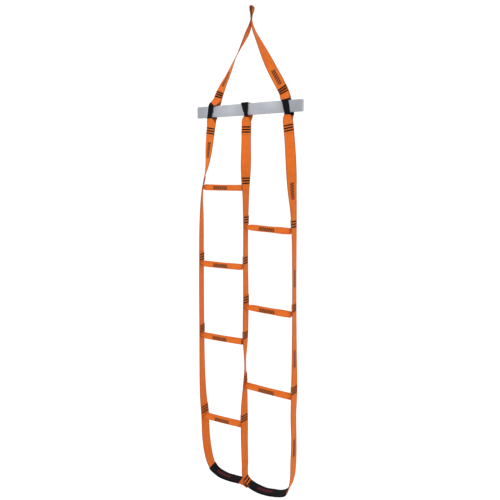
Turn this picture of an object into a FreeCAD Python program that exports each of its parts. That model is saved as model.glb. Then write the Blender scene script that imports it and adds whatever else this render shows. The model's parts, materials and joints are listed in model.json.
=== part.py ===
"""Webbing escape ladder with alternating foot rungs, hung from one sewn eye.

Origin: the bearing point inside the top of the hanging eye.  +Z is up, the spreader bar lies along X and
the ladder's front faces -Y.  Millimetres.

A wide strap lies with its flat side to the front at the spreader bar and turns edge to the front at the
rungs.  The ladder folds between its rungs, so each stretch of strap is a plate that laps past the next one:
the panels with a left rung and those with a right rung carry their rails one strap thickness apart along X.
"""
import FreeCAD, Part
import math
import os
import Sketcher

SIZES = {
    # webbing and its sewing
    "strap_wide": 45.0,
    "strap_thick": 2.5,
    "sleeve_wall": 1.0,
    "run_gap": 0.3,
    "tack_tall": 2.6,
    "tack_pitch": 9.5,
    "tack_wide": 40.0,
    "tack_proud": 0.6,
    # hanging eye
    "eye_radius": 9.5,
    "eye_taper_top": -12.5,
    "eye_throat": -32.0,
    "stem_top": -34.0,
    "stem_end": -58.0,
    # spreader bar
    "bar_long": 500.0,
    "bar_tall": 50.0,
    "bar_deep": 20.0,
    "bar_wall": 2.0,
    "bar_height": -450.0,
    "bar_middle": -11.0,
    "plug_head": 2.0,
    "plug_reach": 18.0,
    "left_strap_at_bar": -189.0,
    "middle_strap_at_bar": -19.0,
    "right_strap_at_bar": 171.0,
    "pocket_flare": 30.0,
    # the bridle and the folds below it
    "leg_start": 2.7,
    "leg_top": -66.0,
    "left_leg_end": -140.0,
    "right_leg_end": 136.0,
    "fold_clear": 6.0,
    "fold_bridle": -350.0,
    "fold_hanger": -575.0,
    "left_strap_at_fold": -204.0,
    "middle_strap_at_fold": -20.0,
    "right_strap_at_fold": 183.0,
    "fold_1": -878.0,
    "fold_2": -1055.0,
    "fold_3": -1229.0,
    "fold_4": -1392.0,
    "fold_5": -1565.0,
    "fold_6": -1747.0,
    "fold_7": -1930.0,
    # rails at the rungs
    "left_rail": -244.0,
    "middle_rail": -22.0,
    "right_rail": 200.0,
    "lap": 3.4,
    "low_left_rail": -232.0,
    "twist_end": -735.0,
    # rungs, from the top
    "rung_1": -793.0,
    "rung_2": -968.0,
    "rung_3": -1141.0,
    "rung_4": -1317.0,
    "rung_5": -1468.0,
    "rung_6": -1661.0,
    "rung_7": -1832.0,
    "rung_across": 27.0,
    "rung_flat": 5.2,
    "rung_taper": 24.0,
    "right_rung_fall": 4.5,
    "core_across": 21.0,
    "core_wall": 2.0,
    "core_inset": 27.0,
    "tail_up": 50.0,
    # bottom steps
    "left_step_rail": -221.0,
    "left_step_bend": 90.0,
    "left_step_bottom": -2090.7,
    "left_step_end": 42.0,
    "left_sleeve_end": -33.0,
    "right_step_bottom": -2088.0,
    "middle_step_bend": 40.0,
    "right_step_bend": 55.0,
    "right_sleeve_start": 45.0,
}

doc = FreeCAD.newDocument("escape_ladder")
sheet = doc.addObject("Spreadsheet::Sheet", "Sheet")
for row, (word, size) in enumerate(SIZES.items(), start=1):
    sheet.set(f"A{row}", word)
    sheet.set(f"B{row}", str(size))
    sheet.setAlias(f"B{row}", word)
doc.recompute()

UP, ACROSS, ALONG = FreeCAD.Vector(0, 0, 1), FreeCAD.Vector(0, 1, 0), FreeCAD.Vector(1, 0, 0)
BASE_AXES = ("x", "y", "z")
QUARTER = math.pi / 2
BOTTOM_ANGLE = 3 * QUARTER
nodes = []


def bound(formula):
    """A formula of sheet words as a FreeCAD expression."""
    text = str(formula)
    for word in sorted(SIZES, key=len, reverse=True):
        text = text.replace(f"[{word}]", f"Sheet.{word}")
    return text


def new_body(label):
    body = doc.addObject("PartDesign::Body", label)
    body.Label = label
    nodes.append(body)
    return body


def new_sketch(body, role, at=(0, 0, 0), axis=UP, turn=0.0):
    """An empty sketch on one of the body's own planes, moved by formulas and turned about an axis."""
    sketch = body.newObject("Sketcher::SketchObject", "Sketch")
    plane = next(feature for feature in body.Origin.OriginFeatures if feature.Role == role)
    sketch.AttachmentSupport = [(plane, "")]
    sketch.MapMode = "FlatFace"
    sketch.AttachmentOffset = FreeCAD.Placement(FreeCAD.Vector(), FreeCAD.Rotation(axis, turn))
    for letter, formula in zip(BASE_AXES, at):
        if formula:
            sketch.setExpression(f".AttachmentOffset.Base.{letter}", bound(formula))
    return sketch


def size_constraint(sketch, constraint, formula):
    index = sketch.addConstraint(constraint)
    sketch.setExpression(f"Constraints[{index}]", bound(formula))


def draw_rectangle(sketch, wide, tall):
    """A rectangle centred on the sketch's origin."""
    half = 5.0
    signs = ((-1, -1), (1, -1), (1, 1), (-1, 1))
    corners = [FreeCAD.Vector(x * half, y * half, 0) for x, y in signs]
    first = sketch.GeometryCount
    for start, end in zip(corners, corners[1:] + corners[:1]):
        sketch.addGeometry(Part.LineSegment(start, end))
    for side in range(4):
        sketch.addConstraint(Sketcher.Constraint("Coincident", first + side, 2, first + (side + 1) % 4, 1))
    for side, way in enumerate(("Horizontal", "Vertical", "Horizontal", "Vertical")):
        sketch.addConstraint(Sketcher.Constraint(way, first + side))
    sketch.addConstraint(Sketcher.Constraint("Symmetric", first, 1, first + 2, 1, -1, 1))
    size_constraint(sketch, Sketcher.Constraint("DistanceX", first, 1, first, 2, 2 * half), wide)
    size_constraint(sketch, Sketcher.Constraint("DistanceY", first + 1, 1, first + 1, 2, 2 * half), tall)


def draw_circle(sketch, across):
    circle = sketch.addGeometry(Part.Circle(FreeCAD.Vector(), UP, 5.0))
    sketch.addConstraint(Sketcher.Constraint("Coincident", circle, 3, -1, 1))
    size_constraint(sketch, Sketcher.Constraint("Diameter", circle, 10.0), across)


def draw_slot(sketch, length, near):
    """A slot one strap wide that stands on the sketch's origin: its ends are round about both fold lines."""
    half = SIZES["strap_wide"] / 2
    low, high = FreeCAD.Vector(0, 0, 0), FreeCAD.Vector(0, near, 0)
    side = FreeCAD.Vector(half, 0, 0)
    sketch.addGeometry([Part.ArcOfCircle(Part.Circle(low, UP, half), 2 * QUARTER, 4 * QUARTER),
                        Part.LineSegment(low + side, high + side),
                        Part.ArcOfCircle(Part.Circle(high, UP, half), 0, 2 * QUARTER),
                        Part.LineSegment(high - side, low - side)])
    for pair in ((0, 2, 1, 1), (1, 2, 2, 1), (2, 2, 3, 1), (3, 2, 0, 1)):
        sketch.addConstraint(Sketcher.Constraint("Tangent", *pair))
    sketch.addConstraint(Sketcher.Constraint("Coincident", 0, 3, -1, 1))
    sketch.addConstraint(Sketcher.Constraint("Vertical", 1))
    size_constraint(sketch, Sketcher.Constraint("Radius", 0, half), "[strap_wide] / 2")
    size_constraint(sketch, Sketcher.Constraint("DistanceY", 1, 1, 1, 2, near), length)


def strap_section(body, x, y, z, turn=0.0, wide="[strap_wide]", thick="[strap_thick]"):
    """A level cut through a strap; at turn 0 its flat side faces the front."""
    sketch = new_sketch(body, "XY_Plane", (x, y, z), UP, turn)
    draw_rectangle(sketch, wide, thick)
    return sketch


def round_section(body, x, z, across, deep=None):
    """An upright cut across a rung at x: a circle, or a flattened oval of the given depth and height."""
    sketch = new_sketch(body, "YZ_Plane", (0, z, x))
    if deep is None:
        draw_circle(sketch, across)
        return sketch
    major, minor = SIZES["strap_wide"] / 2, SIZES["rung_flat"] / 2
    ellipse = Part.Ellipse(FreeCAD.Vector(major, 0, 0), FreeCAD.Vector(0, minor, 0), FreeCAD.Vector())
    oval = sketch.addGeometry(ellipse)
    sketch.exposeInternalGeometry(oval)
    sketch.addConstraint(Sketcher.Constraint("Coincident", oval, 3, -1, 1))
    sketch.addConstraint(Sketcher.Constraint("Horizontal", 1))
    size_constraint(sketch, Sketcher.Constraint("Distance", 1, 1, 1, 2, 2 * major), deep)
    size_constraint(sketch, Sketcher.Constraint("Distance", 2, 1, 2, 2, 2 * minor), across)
    return sketch


def loft(body, sections, cut=False):
    feature = body.newObject("PartDesign::SubtractiveLoft" if cut else "PartDesign::AdditiveLoft", "Loft")
    feature.Profile = sections[0]
    feature.Sections = sections[1:]
    feature.Ruled = True
    body.Tip = feature
    doc.recompute()
    return feature


def pad(body, sketch, length, cut=False):
    feature = body.newObject("PartDesign::Pocket" if cut else "PartDesign::Pad", "Pad")
    feature.Profile = sketch
    feature.setExpression("Length", bound(length))
    feature.Reversed = cut
    body.Tip = feature
    doc.recompute()
    return feature


def pipe(body, section, spine, cut=False):
    feature = body.newObject("PartDesign::SubtractivePipe" if cut else "PartDesign::AdditivePipe", "Pipe")
    feature.Profile = section
    feature.Spine = (spine, [""])
    body.Tip = feature
    doc.recompute()
    return feature


def box(name, centre, lengths, lean=0.0):
    """A plain block about its centre, leaning about Y."""
    block = doc.addObject("Part::Box", name)
    for side, length in zip(("Length", "Width", "Height"), lengths):
        block.setExpression(side, bound(length))
    block.Placement = FreeCAD.Placement(FreeCAD.Vector(), FreeCAD.Rotation(ACROSS, lean))
    turned = FreeCAD.Rotation(ACROSS, lean)
    axes = [turned.multVec(axis) for axis in (ALONG, ACROSS, UP)]
    for index, letter in enumerate(BASE_AXES):
        back = " ".join(
            f"- ({length}) / 2 * ({axis[index]:.6f})"
            for length, axis in zip(lengths, axes) if abs(axis[index]) > 1e-6
        )
        block.setExpression(f".Placement.Base.{letter}", bound(f"({centre[index]}) {back}"))
    return block


def group(label, blocks):
    """Several separate solids kept as one node."""
    joined = doc.addObject("Part::MultiFuse", label)
    joined.Label = label
    joined.Shapes = blocks
    nodes.append(joined)
    doc.recompute()
    return joined


# ---- hanging eye -------------------------------------------------------------------------------------------

def hanging_eye():
    body = new_body("top_eye")
    ring = new_sketch(body, "XZ_Plane", (0, "-[eye_radius]", "-[strap_wide] / 2"))
    draw_circle(ring, "2 * ([eye_radius] + [strap_thick])")
    pad(body, ring, "[strap_wide]")
    stack = "2 * ([strap_thick] + 0.1)"
    across = "2 * ([eye_radius] + [strap_thick] * 0.8)"
    loft(body, [
        strap_section(body, 0, 0, "[eye_taper_top]", 0, across, "[strap_wide]"),
        strap_section(body, 0, 0, "[stem_top]", 0, stack, "[strap_wide]"),
        strap_section(body, 0, 0, "[stem_end]", 0, stack, "[strap_wide]"),
    ])
    bore = new_sketch(body, "XZ_Plane", (0, "-[eye_radius]", "-[strap_wide]"))
    draw_circle(bore, "2 * [eye_radius]")
    pad(body, bore, "2 * [strap_wide]", cut=True)
    loft(body, [
        strap_section(body, 0, 0, "[eye_taper_top]", 0, "1.9 * [eye_radius]", "[strap_wide] + 2"),
        strap_section(body, 0, 0, "[eye_throat]", 0, "0.6", "[strap_wide] + 2"),
    ], cut=True)
    tacks("eye_bartacks", [("0", "0", "[stem_top] - 2.5", "across", "2 * [strap_thick] + 0.2", 0.0)])


# ---- sewing ------------------------------------------------------------------------------------------------

def tacks(label, places):
    """Rows of three sewn bars through the layers.  A place is x, y, top z, way of the strap, depth, lean."""
    blocks = []
    for x, y, top, lies, layers, lean in places:
        depth = f"({layers}) + 2 * [tack_proud]"
        along = FreeCAD.Rotation(ACROSS, lean).multVec(UP)
        for row in range(3):
            step = f"({row} * [tack_pitch])"
            centre = (f"({x}) - {step} * ({along.x:.6f})", y, f"({top}) - {step} * ({along.z:.6f})")
            if lies == "across":
                lengths = (depth, "[tack_wide]", "[tack_tall]")
            elif lies == "level":
                centre = (f"({x}) + {step}", y, top)
                lengths = ("[tack_tall]", "[tack_wide]", depth)
            else:
                lengths = ("[tack_wide]", depth, "[tack_tall]")
            blocks.append(box(f"{label}_{len(blocks)}", centre, lengths, lean))
    return group(label, blocks)


# ---- bridle ------------------------------------------------------------------------------------------------

def bridle_leg(label, sign, end):
    """A leg that starts edge to the front at the eye and turns its flat side to the front by the bar."""
    body = new_body(label)
    start = f"({sign}) * [leg_start]"
    stages = ((0.0, 90), (0.15, 80), (0.45, 60), (0.7, 35), (0.88, 12), (1.0, 0))
    sections = []
    for share, turn in stages:
        x = f"{start} + {share} * ([{end}] - {start})"
        z = f"[leg_top] + {share} * ([fold_bridle] + [fold_clear] - [leg_top])"
        sections.append(strap_section(body, x, 0, z, sign * turn))
    loft(body, sections)


# ---- hanger: the straps around the spreader bar ------------------------------------------------------------

LAYER = "([bar_deep] / 2 + [run_gap] + [sleeve_wall] + [strap_thick] / 2)"
BAR_TOP = "([bar_height] + [bar_tall] / 2)"
BAR_FOOT = "([bar_height] - [bar_tall] / 2)"
TOGETHER = "[strap_thick] / 2"
BAND_CLEAR = 3.0


def bar_pocket(label, side):
    """One long strap and a second layer sewn behind it, parted around the bar."""
    body = new_body(label)
    at_bar, top_x, low_x = f"[{side}_strap_at_bar]", f"[{side}_leg_end]", f"[{side}_strap_at_fold]"
    top_end, low_end = "[fold_bridle] - [fold_clear]", "[fold_hanger] + [fold_clear]"
    seam_top = f"{BAR_TOP} + {BAND_CLEAR} + [pocket_flare]"
    seam_low = f"{BAR_FOOT} - {BAND_CLEAR} - [pocket_flare]"
    split, merge = "[fold_bridle] - 15", "[fold_hanger] + 15"
    for way in (-1, 1):
        near, far = f"{way} * {TOGETHER}", f"{way} * {LAYER}"
        loft(body, [
            strap_section(body, f"{top_x} + 0.13 * ({at_bar} - {top_x})", near, split),
            strap_section(body, f"{top_x} + 0.56 * ({at_bar} - {top_x})", near, seam_top),
            strap_section(body, at_bar, far, f"{BAR_TOP} + {BAND_CLEAR}"),
            strap_section(body, at_bar, far, f"{BAR_FOOT} - {BAND_CLEAR}"),
            strap_section(body, f"{at_bar} + 0.3 * ({low_x} - {at_bar})", near, seam_low),
            strap_section(body, f"{at_bar} + 0.87 * ({low_x} - {at_bar})", near, merge),
        ])
    loft(body, [
        strap_section(body, f"{top_x}", 0, top_end),
        strap_section(body, f"{top_x} + 0.2 * ({at_bar} - {top_x})", 0, f"{split} - 5"),
    ])
    loft(body, [
        strap_section(body, f"{at_bar} + 0.82 * ({low_x} - {at_bar})", 0, f"{merge} + 5"),
        strap_section(body, low_x, 0, low_end),
    ])


def bar_loop():
    """The middle strap goes up in front of the bar, over it and down behind it."""
    body = new_body("middle_bar_loop")
    at_bar, low_x = "[middle_strap_at_bar]", "[middle_strap_at_fold]"
    crown = f"{BAR_TOP} + [run_gap] + [sleeve_wall]"
    seam_low = f"{BAR_FOOT} - {BAND_CLEAR} - [pocket_flare]"
    top = strap_section(body, at_bar, 0, crown, 0, "[strap_wide]", f"2 * {LAYER} + [strap_thick]")
    pad(body, top, "[strap_thick]")
    for way in (-1, 1):
        near, far = f"{way} * {TOGETHER}", f"{way} * {LAYER}"
        loft(body, [
            strap_section(body, at_bar, far, crown),
            strap_section(body, at_bar, far, f"{BAR_FOOT} - {BAND_CLEAR}"),
            strap_section(body, at_bar, near, seam_low),
            strap_section(body, low_x, near, "[fold_hanger] + 15"),
        ])
    loft(body, [
        strap_section(body, low_x, 0, "[fold_hanger] + 20"),
        strap_section(body, low_x, 0, "[fold_hanger] + [fold_clear]"),
    ])


def bar_sleeve(label, side):
    """Black tubes of webbing on the strap's front and back layers, where they bear on the bar."""
    rings = []
    for name, way in (("front", -1), ("back", 1)):
        centre = (f"[{side}_strap_at_bar]", f"{way} * {LAYER}", "[bar_height]")
        tall = "[bar_tall] + 2"
        outer = box(f"{label}_{name}_outer", centre,
                    ("[strap_wide] + 2 * [sleeve_wall]", "[strap_thick] + 2 * [sleeve_wall]", tall))
        inner = box(f"{label}_{name}_inner", centre, ("[strap_wide]", "[strap_thick]", f"{tall} + 2"))
        ring = doc.addObject("Part::Cut", f"{label}_{name}")
        ring.Base = outer
        ring.Tool = inner
        rings.append(ring)
    group(label, rings)


def hanger():
    bar_pocket("left_bar_pocket", "left")
    bar_pocket("right_bar_pocket", "right")
    bar_loop()
    for side in ("left", "middle", "right"):
        bar_sleeve(f"{side}_bar_sleeve", side)
    doubled = "2 * [strap_thick]"
    lean_left = 29.0
    lean_right = -24.0
    tacks("hanger_bartacks", [
        ("[left_leg_end] - 10", "0", "[fold_bridle] - 18", "front", doubled, lean_left),
        ("[right_leg_end] + 8.5", "0", "[fold_bridle] - 18", "front", doubled, lean_right),
        ("[left_strap_at_bar] - 7.5", "0", "[fold_hanger] + 46", "front", doubled, 7.0),
        ("[middle_strap_at_bar]", "0", "[fold_hanger] + 46", "front", doubled, 0.0),
        ("[right_strap_at_bar] + 6", "0", "[fold_hanger] + 46", "front", doubled, -6.0),
    ])


# ---- spreader bar ------------------------------------------------------------------------------------------

def spreader_bar():
    body = new_body("spreader_bar_tube")
    start = "[bar_middle] - [bar_long] / 2"
    outline = new_sketch(body, "YZ_Plane", (0, "[bar_height]", start))
    draw_rectangle(outline, "[bar_deep]", "[bar_tall]")
    pad(body, outline, "[bar_long]")
    hollow = new_sketch(body, "YZ_Plane", (0, "[bar_height]", f"{start} - 1"))
    draw_rectangle(hollow, "[bar_deep] - 2 * [bar_wall]", "[bar_tall] - 2 * [bar_wall]")
    pad(body, hollow, "[bar_long] + 2", cut=True)

    plugs = []
    for name, way in (("left", -1), ("right", 1)):
        end = f"([bar_middle] + {way} * [bar_long] / 2)"
        head = box(f"{name}_plug_head", (f"{end} + {way} * [plug_head] / 2", "0", "[bar_height]"),
                   ("[plug_head]", "[bar_deep]", "[bar_tall]"))
        inside = ("[plug_reach]", "[bar_deep] - 2 * [bar_wall] - 0.1", "[bar_tall] - 2 * [bar_wall] - 0.1")
        shank = box(f"{name}_plug_shank", (f"{end} - {way} * [plug_reach] / 2", "0", "[bar_height]"), inside)
        plugs += [head, shank]
    group("spreader_bar_end_plugs", plugs)


# ---- rails and rungs ---------------------------------------------------------------------------------------

def rail_plate(body, x, top, low):
    """A flat stretch of rail, edge to the front, with round ends about the fold lines above and below."""
    outline = new_sketch(body, "YZ_Plane", (0, f"[{low}]", f"{x} - [strap_thick] / 2"))
    draw_slot(outline, f"[{top}] - [{low}]", SIZES[top] - SIZES[low])
    pad(body, outline, "[strap_thick]")


def turning_rail(label, side, x, sign):
    """The first rail below the bar: flat side to the front at its top, edge to the front at its rung."""
    body = new_body(label)
    foot = new_sketch(body, "YZ_Plane", (0, "[fold_1]", f"{x} - [strap_thick] / 2"))
    draw_circle(foot, "[strap_wide]")
    pad(body, foot, "[strap_thick]")
    start = f"[{side}_strap_at_fold]"
    stages = ((0.0, 0), (0.3, 20), (0.6, 50), (0.85, 78), (1.0, 90))
    sections = []
    for share, turn in stages:
        z = f"[fold_hanger] - [fold_clear] + {share} * ([twist_end] - [fold_hanger] + [fold_clear])"
        sections.append(strap_section(body, f"{start} + {share} * ({x} - ({start}))", 0, z, sign * turn))
    sections.append(strap_section(body, x, 0, "[fold_1]", sign * 90))
    loft(body, sections)


def rung_cover(label, left, right, level, fall):
    """Webbing folded round the stiff core, flattened at both ends, with its tails sewn up the rails."""
    body = new_body(label)
    left_face, right_face = f"({left} + [strap_thick] / 2)", f"({right} - [strap_thick] / 2)"
    high, low = f"({level} + {fall})", f"({level} - {fall})"
    inner = "[rung_taper]"
    loft(body, [
        round_section(body, left_face, high, "[rung_flat]", "[strap_wide]"),
        round_section(body, f"{left_face} + {inner}", high, "[rung_across]"),
        round_section(body, f"{right_face} - {inner}", low, "[rung_across]"),
        round_section(body, right_face, low, "[rung_flat]", "[strap_wide]"),
    ])
    for face, foot in ((left_face, high), (f"({right_face} - [strap_thick])", low)):
        tall = "([tail_up] + [rung_flat] / 2)"
        tail = new_sketch(body, "YZ_Plane", (0, f"{foot} - [rung_flat] / 2 + {tall} / 2", face))
        draw_rectangle(tail, "[strap_wide]", tall)
        pad(body, tail, "[strap_thick]")
    loft(body, [
        round_section(body, f"{left_face} + [core_inset]", high, "[core_across]"),
        round_section(body, f"{right_face} - [core_inset]", low, "[core_across]"),
    ], cut=True)


def rung_core(label, left, right, level, fall):
    """The stiff tube inside a rung."""
    body = new_body(label)
    start = f"{left} + [strap_thick] / 2 + [core_inset] + 0.5"
    end = f"{right} - [strap_thick] / 2 - [core_inset] - 0.5"
    high, low = f"{level} + {fall}", f"{level} - {fall}"
    rounds = (("[core_across] - 0.1", 0, False), ("[core_across] - 2 * [core_wall]", 1, True))
    for across, over, cut in rounds:
        loft(body, [
            round_section(body, f"{start} - {over}", high, across),
            round_section(body, f"{end} + {over}", low, across),
        ], cut)


def panel(number, top, low):
    """One folding stretch of ladder: three rails and a rung, on the left for odd numbers."""
    on_left = number % 2 == 1
    name, level = f"rung_{number}", f"[rung_{number}]"
    left = "[low_left_rail]" if number == 7 else ("[left_rail]" if on_left else "([left_rail] - [lap])")
    middle = "([middle_rail] - [lap] / 2)" if on_left else "([middle_rail] + [lap] / 2)"
    right = "([right_rail] + [lap])" if on_left else "[right_rail]"
    for side, x, sign in (("left", left, -1), ("middle", middle, 1), ("right", right, 1)):
        label = f"{name}_{side}_rail"
        if number == 1:
            turning_rail(label, side, x, sign)
        else:
            rail_plate(new_body(label), x, top, low)
    ends = (left, middle) if on_left else (middle, right)
    fall = "0" if on_left else "[right_rung_fall]"
    rung_cover(f"{name}_webbing", *ends, level, fall)
    rung_core(f"{name}_core", *ends, level, fall)
    lift = "[tail_up] - 9"
    left_top, right_top = f"{level} + {fall} + {lift}", f"{level} - {fall} + {lift}"
    tacks(f"{name}_bartacks", [
        (f"{ends[0]} + [strap_thick] / 2", "0", left_top, "across", "2 * [strap_thick]", 0.0),
        (f"{ends[1]} - [strap_thick] / 2", "0", right_top, "across", "2 * [strap_thick]", 0.0),
    ])


# ---- bottom steps ------------------------------------------------------------------------------------------

def draw_bend(sketch, way, rail, rail_x, word, bottom, share):
    """A bend from an upright rail to the level bottom: way 1 at a left-hand rail, -1 at a right one."""
    radius, low = SIZES[word], SIZES[bottom]
    centre_x, centre_z = rail_x + way * radius, low + radius
    circle = Part.Circle(FreeCAD.Vector(centre_x, centre_z, 0), UP, radius)
    angles = sorted((BOTTOM_ANGLE, BOTTOM_ANGLE - way * share * QUARTER))
    bend = sketch.addGeometry(Part.ArcOfCircle(circle, *angles))
    far_point = 1 if way > 0 else 2
    size_constraint(sketch, Sketcher.Constraint("Radius", bend, radius), f"[{word}]")
    aside = Sketcher.Constraint("DistanceX", -1, 1, bend, 3, centre_x)
    size_constraint(sketch, aside, f"{rail} + {way} * [{word}]")
    height = Sketcher.Constraint("DistanceY", -1, 1, bend, 3, centre_z)
    size_constraint(sketch, height, f"[{bottom}] + [{word}]")
    if share == 1:
        sketch.addConstraint(Sketcher.Constraint("Horizontal", bend, far_point, bend, 3))
    else:
        reach = 1 - math.cos(share * QUARTER)
        far_x = rail_x + way * reach * radius
        far_end = Sketcher.Constraint("DistanceX", -1, 1, bend, far_point, far_x)
        size_constraint(sketch, far_end, f"{rail} + {way * reach:.6f} * [{word}]")
    return bend


def step_spine(body, bottom, left=None, right=None, left_end=None, right_end=None):
    """The middle line of a step: a bend or a plain end at each side of its level bottom."""
    sketch = new_sketch(body, "XZ_Plane")
    low = SIZES[bottom]
    start_x = left[1] + SIZES[left[2]] if left else SIZES[left_end]
    end_x = right[1] - SIZES[right[2]] if right else SIZES[right_end]
    start, end = FreeCAD.Vector(start_x, low, 0), FreeCAD.Vector(end_x, low, 0)
    line = sketch.addGeometry(Part.LineSegment(start, end))
    both = ((1, left, left_end, start_x, 1), (-1, right, right_end, end_x, 2))
    for way, bend_at, word, x, point in both:
        if bend_at:
            bend = draw_bend(sketch, way, *bend_at[:3], bottom, bend_at[3])
            sketch.addConstraint(Sketcher.Constraint("Tangent", bend, 3 - (1 if way > 0 else 2), line, point))
        else:
            size_constraint(sketch, Sketcher.Constraint("DistanceX", -1, 1, line, point, x), f"[{word}]")
    if not left:
        size_constraint(sketch, Sketcher.Constraint("DistanceY", -1, 1, line, 1, low), f"[{bottom}]")
    return sketch


def step_rail(body, x, foot):
    """The upright stretch of rail above a step, with a round end about the lowest fold."""
    top = new_sketch(body, "YZ_Plane", (0, "[fold_7]", f"{x} - [strap_thick] / 2"))
    draw_circle(top, "[strap_wide]")
    pad(body, top, "[strap_thick]")
    loft(body, [strap_section(body, x, 0, "[fold_7]", 90), strap_section(body, x, 0, foot, 90)])


def bottom_steps():
    middle, middle_x = "([middle_rail] + [lap] / 2)", SIZES["middle_rail"] + SIZES["lap"] / 2
    left_bend = ("[left_step_rail]", SIZES["left_step_rail"], "left_step_bend")
    middle_bend = (middle, middle_x, "middle_step_bend", 1)
    right_bend = ("[right_rail]", SIZES["right_rail"], "right_step_bend")

    left_foot = "[left_step_bottom] + [left_step_bend]"
    body = new_body("left_step_webbing")
    route = step_spine(body, "left_step_bottom", left=(*left_bend, 1), right_end="left_step_end")
    pipe(body, strap_section(body, "[left_step_rail]", 0, left_foot, 90), route)
    step_rail(body, "[left_step_rail]", left_foot)

    body = new_body("right_step_webbing")
    route = step_spine(body, "right_step_bottom", left=middle_bend, right=(*right_bend, 1))
    middle_foot = "[right_step_bottom] + [middle_step_bend]"
    pipe(body, strap_section(body, middle, 0, middle_foot, 90), route)
    step_rail(body, middle, middle_foot)
    step_rail(body, "[right_rail]", "[right_step_bottom] + [right_step_bend]")

    walls = (("[strap_thick] + 2 * [sleeve_wall]", "[strap_wide] + 2 * [sleeve_wall]", False),
             ("[strap_thick]", "[strap_wide]", True))
    body = new_body("left_step_sleeve")
    reach = math.cos(QUARTER / 2)
    for thick, wide, cut in walls:
        route = step_spine(body, "left_step_bottom", left=(*left_bend, 0.5), right_end="left_sleeve_end")
        at = (f"[left_step_rail] + {1 - reach:.6f} * [left_step_bend]", 0,
              f"[left_step_bottom] + {1 - reach:.6f} * [left_step_bend]")
        section = new_sketch(body, "XY_Plane", at, ACROSS, -45.0)
        draw_rectangle(section, thick, wide)
        pipe(body, section, route, cut)

    body = new_body("right_step_sleeve")
    for thick, wide, cut in walls:
        route = step_spine(body, "right_step_bottom", left_end="right_sleeve_start", right=(*right_bend, 0.5))
        section = new_sketch(body, "YZ_Plane", (0, "[right_step_bottom]", "[right_sleeve_start]"))
        draw_rectangle(section, wide, thick)
        pipe(body, section, route, cut)

    between = "([left_step_bottom] + [right_step_bottom]) / 2"
    tacks("step_bartacks", [("[left_step_end] - 23", "0", between, "level", "2 * [strap_thick] + 0.2", 0.0)])


def finish():
    doc.recompute()
    for thing in doc.Objects:
        if "Invalid" in thing.State or "Error" in thing.State:
            raise RuntimeError(f"{thing.Name} ({thing.Label}) did not recompute: {thing.State}")
    os.makedirs("parts", exist_ok=True)
    for node in nodes:
        shape = node.Shape
        if shape.isNull() or not shape.isValid() or not shape.Solids:
            raise RuntimeError(f"{node.Label} has no valid solid")
        shape.exportStep(f"parts/{node.Label}.step")
        size = shape.BoundBox
        print(f"{node.Label:26s} {len(shape.Solids)} solids {shape.Volume / 1000:8.2f} cm3  "
              f"x {size.XMin:.1f} {size.XMax:.1f}  y {size.YMin:.1f} {size.YMax:.1f}  "
              f"z {size.ZMin:.1f} {size.ZMax:.1f}")


hanging_eye()
bridle_leg("left_bridle_leg", -1, "left_leg_end")
bridle_leg("right_bridle_leg", 1, "right_leg_end")
hanger()
spreader_bar()
FOLDS = ["fold_hanger"] + [f"fold_{number}" for number in range(1, 8)]
for number in range(1, 8):
    panel(number, FOLDS[number - 1], FOLDS[number])
bottom_steps()
finish()
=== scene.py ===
"""The looks of a webbing escape ladder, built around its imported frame.  Metres; +Z up, front faces -Y."""

import json
import math

import bpy
import numpy as np
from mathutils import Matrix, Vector


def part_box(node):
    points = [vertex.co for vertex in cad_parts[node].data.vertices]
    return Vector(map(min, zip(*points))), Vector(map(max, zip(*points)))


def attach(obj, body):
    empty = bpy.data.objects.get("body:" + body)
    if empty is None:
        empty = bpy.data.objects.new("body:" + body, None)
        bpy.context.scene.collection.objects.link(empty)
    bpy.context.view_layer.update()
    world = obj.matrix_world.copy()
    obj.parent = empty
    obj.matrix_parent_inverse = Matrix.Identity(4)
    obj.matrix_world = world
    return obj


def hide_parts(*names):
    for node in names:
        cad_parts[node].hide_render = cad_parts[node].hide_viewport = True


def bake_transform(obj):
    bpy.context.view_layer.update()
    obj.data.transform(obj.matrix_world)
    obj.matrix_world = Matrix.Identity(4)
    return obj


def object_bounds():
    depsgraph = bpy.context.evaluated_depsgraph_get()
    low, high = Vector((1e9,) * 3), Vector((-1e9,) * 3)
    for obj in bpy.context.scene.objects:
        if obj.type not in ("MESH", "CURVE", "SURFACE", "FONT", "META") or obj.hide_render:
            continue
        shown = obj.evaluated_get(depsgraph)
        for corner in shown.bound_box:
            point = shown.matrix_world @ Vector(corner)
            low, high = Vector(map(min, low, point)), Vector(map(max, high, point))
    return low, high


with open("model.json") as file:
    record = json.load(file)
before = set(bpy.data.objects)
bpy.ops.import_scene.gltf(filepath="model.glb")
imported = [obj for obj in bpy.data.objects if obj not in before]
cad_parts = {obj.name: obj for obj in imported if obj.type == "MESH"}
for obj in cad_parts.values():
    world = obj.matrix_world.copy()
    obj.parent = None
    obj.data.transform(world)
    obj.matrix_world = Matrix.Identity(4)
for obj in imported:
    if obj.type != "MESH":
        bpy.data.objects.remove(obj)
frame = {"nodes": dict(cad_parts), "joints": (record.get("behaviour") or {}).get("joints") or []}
cad_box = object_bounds()

STEP = 0.004          # distance between cross-sections of a strap
COLUMNS = 13          # points across one face of a strap
WIDE = 0.045
THICK = 0.0026
FLAT = 14.0           # exponent of a flat cross-section
ROUND = 2.0           # exponent of a round one
SLEEVE_WALL = 0.0011

JOINT = {joint["name"]: joint for joint in frame["joints"]}
RUNGS = range(1, 8)


def middle_of(node):
    low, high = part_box(node)
    return (low + high) / 2


def fold_height(name):
    return JOINT[name]["pos_m"][2]


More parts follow.
